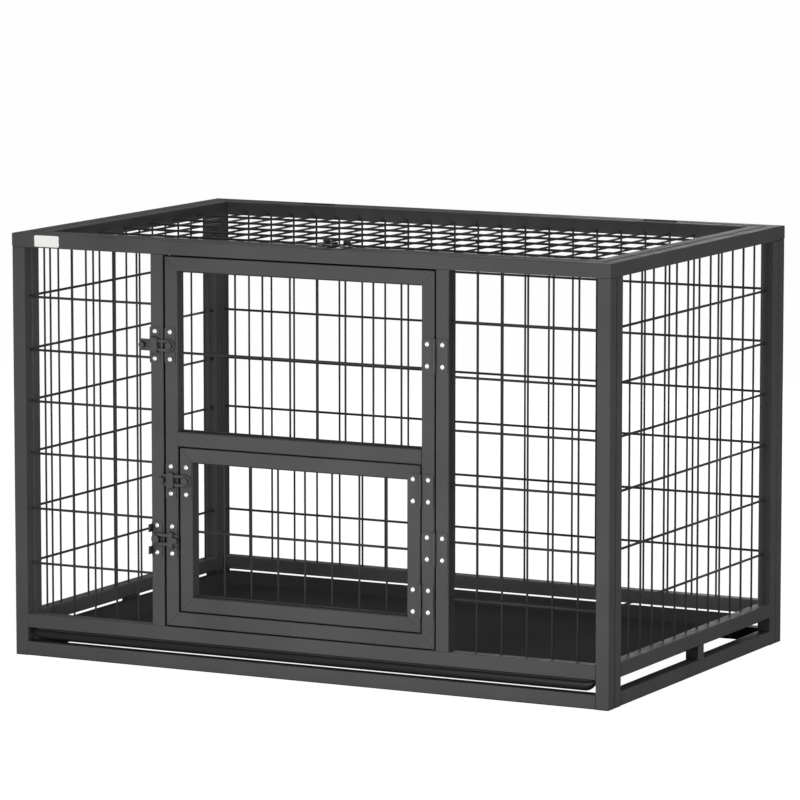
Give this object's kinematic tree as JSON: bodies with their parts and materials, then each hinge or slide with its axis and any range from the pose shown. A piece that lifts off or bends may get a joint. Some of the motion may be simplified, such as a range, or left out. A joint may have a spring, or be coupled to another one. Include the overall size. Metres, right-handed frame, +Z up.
{
  "type": "dog crate",
  "caption": "Heavy duty dog crate of square steel tube and welded wire mesh, with a hinged lid, a large front door holding a smaller door, sliding bolt latches and a slide-out tray.",
  "frame": {"origin": "on the floor under the middle of the crate's footprint", "axes": "+X to the right along the crate's length seen from the front, +Y to the back, +Z up; the doors are on the -Y side"},
  "size_m": [1.1, 0.7151, 0.7271],
  "materials": {
    "frame_paint": "satin charcoal powder coat",
    "wire_paint": "satin black powder coat",
    "hardware_paint": "satin charcoal powder coat",
    "rivet_steel": "bright zinc",
    "tray_plastic": "satin black moulded plastic",
    "plug_plastic": "matte black plastic",
    "label_white": "matte white, blank"
  },
  "bodies": {
    "frame": {"top_frame": "frame_paint", "front_posts": "frame_paint", "back_posts": "frame_paint", "side_posts": "frame_paint", "door_jambs": "frame_paint", "front_sill": "frame_paint", "back_sill": "frame_paint", "side_sills": "frame_paint", "front_base_rail": "frame_paint", "back_base_rail": "frame_paint", "side_base_rails": "frame_paint", "side_blocks": "frame_paint", "tray_ledges": "frame_paint", "foot_plugs": "plug_plastic", "lid_rests": "frame_paint", "front_left_mesh": "wire_paint", "front_right_mesh": "wire_paint", "left_side_mesh": "wire_paint", "right_side_mesh": "wire_paint", "back_mesh": "wire_paint", "blank_label": "label_white", "main_hinge_jamb_leaves": "hardware_paint", "main_hinge_pins": "hardware_paint", "lid_hinge_frame_leaves": "hardware_paint", "lid_hinge_pins": "hardware_paint", "upper_latch_plate": "hardware_paint", "lower_latch_keeper": "hardware_paint", "lid_latch_plate": "hardware_paint", "frame_rivets": "rivet_steel"},
    "main_door": {"main_door_frame": "frame_paint", "main_door_mesh": "wire_paint", "main_hinge_door_leaves": "hardware_paint", "small_hinge_outer_leaves": "hardware_paint", "small_hinge_pins": "hardware_paint", "upper_latch_keeper": "hardware_paint", "lower_latch_plate": "hardware_paint", "small_latch_plate": "hardware_paint", "main_door_rivets": "rivet_steel"},
    "small_door": {"small_door_frame": "frame_paint", "small_door_mesh": "wire_paint", "small_hinge_inner_leaves": "hardware_paint", "small_latch_keeper": "hardware_paint", "small_door_rivets": "rivet_steel"},
    "lid": {"lid_frame": "frame_paint", "lid_mesh": "wire_paint", "lid_hinge_lid_leaves": "hardware_paint", "lid_latch_keeper": "hardware_paint", "lid_rivets": "rivet_steel"},
    "tray": {"tray": "tray_plastic"},
    "upper_bolt": {"upper_bolt": "hardware_paint", "upper_knob": "hardware_paint"},
    "lower_bolt": {"lower_bolt": "hardware_paint", "lower_knob": "hardware_paint"},
    "small_bolt": {"small_bolt": "hardware_paint", "small_knob": "hardware_paint"},
    "lid_bolt": {"lid_bolt": "hardware_paint", "lid_knob": "hardware_paint"}
  },
  "joints": [
    {"name": "main_door_hinge", "type": "hinge", "parent": "frame", "child": "main_door", "pos_m": [0.241, -0.354, 0.38], "axis": [0, 0, 1], "range_deg": [0, 90]},
    {"name": "small_door_hinge", "type": "hinge", "parent": "main_door", "child": "small_door", "pos_m": [0.2155, -0.354, 0.235], "axis": [0, 0, 1], "range_deg": [0, 90]},
    {"name": "lid_hinge", "type": "hinge", "parent": "frame", "child": "lid", "pos_m": [0, 0.3258, 0.7142], "axis": [-1, 0, 0], "range_deg": [0, 110]},
    {"name": "upper_bolt_slide", "type": "slide", "parent": "frame", "child": "upper_bolt", "axis": [-1, 0, 0], "range_m": [0, 0.015]},
    {"name": "lower_bolt_slide", "type": "slide", "parent": "main_door", "child": "lower_bolt", "axis": [1, 0, 0], "range_m": [0, 0.015]},
    {"name": "small_bolt_slide", "type": "slide", "parent": "main_door", "child": "small_bolt", "axis": [-1, 0, 0], "range_m": [0, 0.015]},
    {"name": "lid_bolt_slide", "type": "slide", "parent": "frame", "child": "lid_bolt", "axis": [0, -1, 0], "range_m": [0, 0.015]},
    {"name": "tray_slide", "type": "slide", "parent": "frame", "child": "tray", "axis": [0, -1, 0], "range_m": [0, 0.6]}
  ]
}
